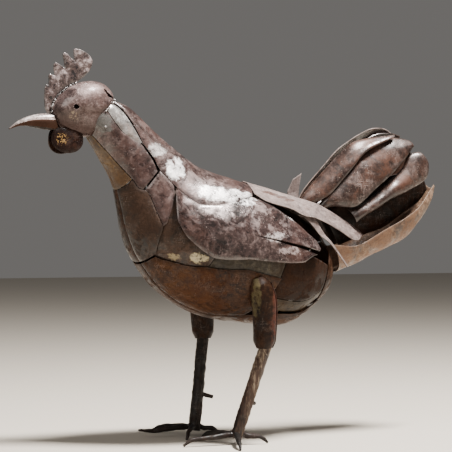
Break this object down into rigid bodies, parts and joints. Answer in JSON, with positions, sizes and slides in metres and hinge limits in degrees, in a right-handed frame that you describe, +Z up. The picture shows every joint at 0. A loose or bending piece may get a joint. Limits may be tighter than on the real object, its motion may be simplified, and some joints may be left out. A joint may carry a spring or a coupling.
{
  "type": "statue",
  "caption": "Standing rooster sculpture welded from bent scrap sheet steel, with comb, wattles, lifted wings, sickle tail fans and two rod legs with spread toes.",
  "frame": {"origin": "middle of the bounding box at the level of the lowest toe tips", "axes": "the bird looks along -X, its left side is -Y, +Z is up"},
  "size_m": [0.738, 0.2916, 0.6084],
  "materials": {
    "rust_brown": "varnished over mottled brown rust, satin",
    "dark_steel": "dark heat-stained steel under varnish, satin",
    "belly_rust": "orange brown rust under varnish, satin",
    "bare_grey": "worn bare grey steel with rust spots, satin",
    "strip_tan": "matte pinkish tan worn paint on steel",
    "tail_rust": "brown steel with orange rust and scratches, satin",
    "rod_steel": "dark rod steel with pale flaking streaks, satin"
  },
  "bodies": {
    "root": {"back_plate_left": "rust_brown", "back_plate_right": "rust_brown", "back_tab": "strip_tan", "beak_lower": "dark_steel", "beak_upper": "rust_brown", "belly_plate_left": "belly_rust", "belly_plate_right": "belly_rust", "breast_plate_left": "dark_steel", "breast_plate_right": "dark_steel", "breast_strip": "belly_rust", "cheek_plate": "bare_grey", "comb": "rust_brown", "croup_plate": "dark_steel", "flank_plate_front_left": "dark_steel", "flank_plate_rear_left": "bare_grey", "flank_plate_right": "dark_steel", "head_shell": "rust_brown", "keel_plate": "belly_rust", "nape_plate": "rust_brown", "neck_plate_left": "rust_brown", "neck_plate_right": "rust_brown", "rump_band_left": "bare_grey", "rump_cap": "belly_rust", "rump_plate_left": "belly_rust", "rump_plate_right": "belly_rust", "saddle_strip_left": "strip_tan", "saddle_strip_right": "strip_tan", "shin_left": "rod_steel", "shin_right": "rod_steel", "shoulder_plate_left": "rust_brown", "shoulder_plate_right": "rust_brown", "side_strip": "strip_tan", "spur_left": "rod_steel", "spur_right": "rod_steel", "tail_finger_left": "tail_rust", "tail_finger_right": "tail_rust", "tail_inner_left": "tail_rust", "tail_inner_right": "tail_rust", "tail_side_left": "tail_rust", "tail_side_right": "tail_rust", "tail_top_left": "tail_rust", "tail_top_right": "tail_rust", "tail_trough": "tail_rust", "thigh_left": "rust_brown", "thigh_right": "rust_brown", "throat_plate_left": "belly_rust", "throat_plate_right": "belly_rust", "toe_inner_left": "rod_steel", "toe_inner_right": "rod_steel", "toe_middle_left": "rod_steel", "toe_middle_right": "rod_steel", "toe_outer_left": "rod_steel", "toe_outer_right": "rod_steel", "toe_rear_left": "rod_steel", "toe_rear_right": "rod_steel", "wattle_left": "dark_steel", "wattle_right": "dark_steel", "wing_left": "rust_brown", "wing_right": "rust_brown"}
  },
  "joints": []
}
